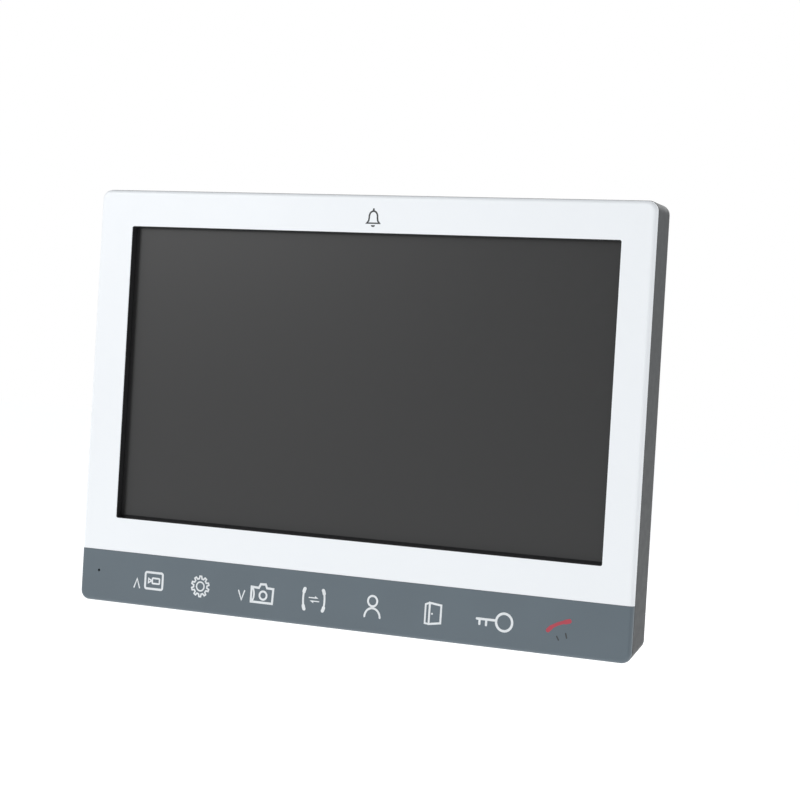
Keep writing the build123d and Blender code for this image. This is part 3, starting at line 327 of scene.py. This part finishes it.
def dress_nodes():
    """Every CAD node gets the material of its slot in the record."""
    for part in frame["record"]["subparts"]:
        node = NODES[part["node"]]
        node.data.materials.clear()
        node.data.materials.append(MATERIALS[part["material_slot"]])


dress_nodes()


# ------------------------------------------------------------------ printed symbols
# Each symbol is drawn in millimetres about its key's centre, X to the right and Z up, as thin raised ink.
INK_PROUD = 0.025 * MM
INK_STEP = 0.004 * MM  # strokes that cross lie at slightly different heights
INK_DEPTH = 0.06 * MM
LINE = 0.88
THIN_LINE = 0.6
CAP_STEPS = 6
SHARPEST = 0.5  # keeps a line's corner from reaching far out
keys_low, keys_high = corners("key_leds")
KEY_COUNT = 8
LAMP_WIDTH = 4.4 * MM
KEY_HEIGHT = (keys_low.z + keys_high.z) / 2
FIRST_KEY = keys_low.x + LAMP_WIDTH / 2
KEY_PITCH = (keys_high.x - keys_low.x - LAMP_WIDTH) / (KEY_COUNT - 1)


def arc(centre, radii, start, end, steps):
    """Points on an ellipse between two angles in degrees."""
    turns = [math.radians(start + (end - start) * step / steps) for step in range(steps + 1)]
    return [(centre[0] + radii[0] * math.cos(turn), centre[1] + radii[1] * math.sin(turn)) for turn in turns]


def circle(centre, radius, steps=40):
    return arc(centre, (radius, radius), 0, 360, steps)[:-1]


def rounded(low, high, radius, steps=4):
    """A box outline with round corners."""
    points = []
    places = ((high[0], high[1], 0), (low[0], high[1], 90), (low[0], low[1], 180), (high[0], low[1], 270))
    for x, z, start in places:
        inner = (x - math.copysign(radius, x - (low[0] + high[0]) / 2),
                 z - math.copysign(radius, z - (low[1] + high[1]) / 2))
        points += arc(inner, (radius, radius), start, start + 90, steps)
    return points


def area(points):
    """A filled outline."""
    return [Vector(point) for point in points], [list(range(len(points)))]


def band(points, width=LINE, closed=False):
    """A line of even width through the points, with round ends where it isn't closed."""
    path = [Vector(point) for point in points]
    count = len(path)
    left, right = [], []
    for number, point in enumerate(path):
        before = path[number - 1] if number or closed else None
        after = path[(number + 1) % count] if number < count - 1 or closed else None
        into = (point - before).normalized() if before is not None else None
        out = (after - point).normalized() if after is not None else None
        into = into if into is not None else out
        out = out if out is not None else into
        across = Vector((-(into.y + out.y), into.x + out.x)).normalized()
        reach = width / 2 / max(across.dot(Vector((-out.y, out.x))), SHARPEST)
        left.append(point + across * reach)
        right.append(point - across * reach)
    vertices = left + right
    spans = count if closed else count - 1
    faces = []
    for number in range(spans):
        following = (number + 1) % count
        faces.append([number, following, count + following, count + number])
    if not closed:
        for end, first, last in ((0, count, 0), (count - 1, count - 1, 2 * count - 1)):
            start = vertices[last if end == 0 else first] - path[end]
            base = len(vertices)
            turns = [math.pi * step / CAP_STEPS for step in range(1, CAP_STEPS)]
            side = 1 if end == 0 else -1
            for turn in turns:
                turned = side * turn
                vertices.append(path[end] + Vector((start.x * math.cos(turned) - start.y * math.sin(turned),
                                                    start.x * math.sin(turned) + start.y * math.cos(turned))))
            cap = list(range(base, len(vertices)))
            faces.append([0] + cap + [count] if end == 0 else [count - 1] + cap + [2 * count - 1])
    return vertices, faces


def ink(name, shapes, place, face_y, slot):
    """One printed mark about a place: every shape becomes a thin closed solid on the face."""
    vertices, faces = [], []
    for layer, (flat, tiles) in enumerate(shapes):
        base = len(vertices)
        count = len(flat)
        front = face_y - INK_PROUD - layer * INK_STEP
        for y in (front, front + INK_DEPTH):
            vertices += [(place[0] + point.x * MM, y, place[1] + point.y * MM) for point in flat]
        edges = {}
        for tile in tiles:
            faces.append([base + corner for corner in tile])
            faces.append([base + count + corner for corner in reversed(tile)])
            for a, b in zip(tile, tile[1:] + tile[:1]):
                edges[(a, b)] = edges.get((b, a), 0) + 1
        for a, b in edges:
            if (b, a) not in edges:
                faces.append([base + a, base + b, base + count + b, base + count + a])
    mesh = bpy.data.meshes.new(name)
    mesh.from_pydata(vertices, [], faces)
    solid = bmesh.new()
    solid.from_mesh(mesh)
    bmesh.ops.recalc_face_normals(solid, faces=solid.faces)
    solid.to_mesh(mesh)
    solid.free()
    mark = bpy.data.objects.new(name, mesh)
    scene.collection.objects.link(mark)
    mark.data.materials.append(MATERIALS[slot])
    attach(mark, "monitor")


def gear_outline(centre, tip, root, teeth):
    """Tooth flanks between a root and a tip circle."""
    points = []
    for tooth in range(teeth):
        for share, radius in ((-0.3, root), (-0.16, tip), (0.16, tip), (0.3, root)):
            turn = 2 * math.pi * (tooth + share) / teeth + math.pi / 2
            points.append((centre[0] + radius * math.cos(turn), centre[1] + radius * math.sin(turn)))
    return points


def recordings():
    return [band([(-6.5, -3.4), (-5.1, 0.4), (-3.7, -3.4)], THIN_LINE),
            band(rounded((-0.95, -3.3), (7.75, 3.65), 0.8), 0.95, closed=True),
            band(rounded((2.6, -0.95), (6.2, 1.3), 0.3), 0.7, closed=True),
            band([(2.3, 0.15), (0.7, 1.0), (0.7, -0.8)], THIN_LINE, closed=True)]


def settings():
    centre = (-0.5, 0.1)
    return [band(gear_outline(centre, 4.3, 3.3, 10), 0.7, closed=True),
            band(circle(centre, 1.85), 0.65, closed=True)]


def snapshot():
    body = [(-2.6, 2.5), (0.9, 2.3), (1.75, 3.9), (4.1, 4.0),
            (4.8, 2.5), (7.8, 2.4), (7.5, -3.7), (-2.7, -3.7)]
    return [band([(-8.8, 0.35), (-7.3, -3.4), (-5.9, 0.45)], THIN_LINE), band(body, 0.95, closed=True),
            band(circle((3.05, -0.7), 1.7), 0.85, closed=True),
            band(arc((-5.9, -0.6), (4.6, 4.9), 36, -36, 12), 0.75)]


def handset(bend, side):
    """An upright handset seen edge on: a bowed grip with a thicker piece at each end."""
    grip = arc((0, 0), (bend, 4.3), 75, -75, 12)
    ends = [arc((0, 0), (bend, 4.3), 75 * level, 42 * level, 5) for level in (-1, 1)]
    place = [[(side * (x - bend) + side * 5.0, z) for x, z in line] for line in [grip] + ends]
    return [band(place[0], 0.85)] + [band(line, 1.5) for line in place[1:]]


def intercom():
    return (handset(0.9, -1) + handset(1.0, 1)
            + [band([(-2.2, 0.75), (1.3, 0.75)], 0.45), area([(0.4, 0.6), (2.2, 0.6), (0.5, 1.6)]),
               band([(2.4, -0.6), (-1.1, -0.6)], 0.45), area([(-0.1, -0.45), (-1.9, -0.45), (-0.2, -1.45)])])


def person():
    return [band(circle((0.0, 2.15), 2.1), 0.85, closed=True),
            band(arc((0.1, -4.5), (3.5, 3.8), 3, 177, 20), 0.85)]


def open_door():
    return [band([(-1.4, 4.1), (3.7, 3.5), (3.65, -3.6), (-1.5, -4.4)], 0.85, closed=True),
            band([(-1.4, 4.1), (-3.2, 3.4), (-3.25, -4.2), (-1.5, -4.4)], 0.75),
            area(circle((-0.2, -0.2), 0.4, 12))]


def latch_key():
    return [band(circle((4.2, -0.35), 3.45), 1.0, closed=True), band([(-7.6, 0.05), (0.8, 0.05)], 0.95),
            band([(-6.4, 0.0), (-6.4, -2.0)], 0.95), band([(-3.5, 0.0), (-3.5, -2.2)], 0.95)]


def hang_up():
    grip = [(-4.3, -1.5), (-2.6, 0.2), (-0.2, 1.5), (2.4, 2.4), (4.7, 3.1)]
    return [band(grip, 1.3), band([(-4.2, -1.4), (-2.9, -0.1)], 1.7), band([(2.9, 2.5), (4.6, 3.0)], 1.8)]


def hang_up_rays():
    return [band([(-0.35, -3.4), (0.45, -4.7)], THIN_LINE), band([(3.3, -1.9), (3.8, -3.6)], THIN_LINE)]


def bell():
    """The plain mark in the middle of the frame's upper edge."""
    left = [(-2.9, -2.2), (-2.1, -1.3)] + arc((0, 0.4), (1.9, 2.3), 190, 90, 8)
    right = [(-x, z) for x, z in reversed(left[:-1])]
    return [band(left + right, 0.7, closed=True), area(arc((0, -3.0), (0.95, 0.75), 180, 360, 8)),
            band([(0, 3.0), (0, 3.5)], 0.8)]


KEY_SYMBOLS = [("recordings", recordings), ("settings", settings), ("snapshot", snapshot),
               ("intercom", intercom), ("person", person), ("open_door", open_door),
               ("latch_key", latch_key), ("hang_up", hang_up)]
for number, (title, draw) in enumerate(KEY_SYMBOLS):
    key_place = (FIRST_KEY + number * KEY_PITCH, KEY_HEIGHT)
    key_slot = "socket_red" if title == "hang_up" else "white_inner"
    ink("symbol_" + title, draw(), key_place, strip_face_y, key_slot)
last_key = (FIRST_KEY + (KEY_COUNT - 1) * KEY_PITCH, KEY_HEIGHT)
ink("symbol_hang_up_rays", hang_up_rays(), last_key, strip_face_y, "grey_case")
BELL_X = 5.7 * MM
BELL_UP = 168.1 * MM
ink("mark_bell", bell(), (BELL_X, case_bottom + BELL_UP), front_y, "grey_case")


# ------------------------------------------------------------------ the panel's printed black border
BORDER_WIDTH = 0.9
BORDER_SIDES = {"left": 6.85, "right": 4.45, "top": 8.2, "bottom": 9.5}  # metal frame's edge to the lit area
frame_low, frame_high = corners("lcd_front_frame")
panel_low = corners("lcd_panel")[0]


def panel_border():
    """A closed band just outside the lit area, in millimetres about the metal frame's lower left corner."""
    half = BORDER_WIDTH / 2
    width = (frame_high.x - frame_low.x) / MM
    height = (frame_high.z - frame_low.z) / MM
    left = BORDER_SIDES["left"] - half
    right = width - BORDER_SIDES["right"] + half
    low = BORDER_SIDES["bottom"] - half
    high = height - BORDER_SIDES["top"] + half
    return [band([(left, low), (right, low), (right, high), (left, high)], BORDER_WIDTH, closed=True)]


ink("panel_border", panel_border(), (frame_low.x, frame_low.z), panel_low.y, "black_foam")
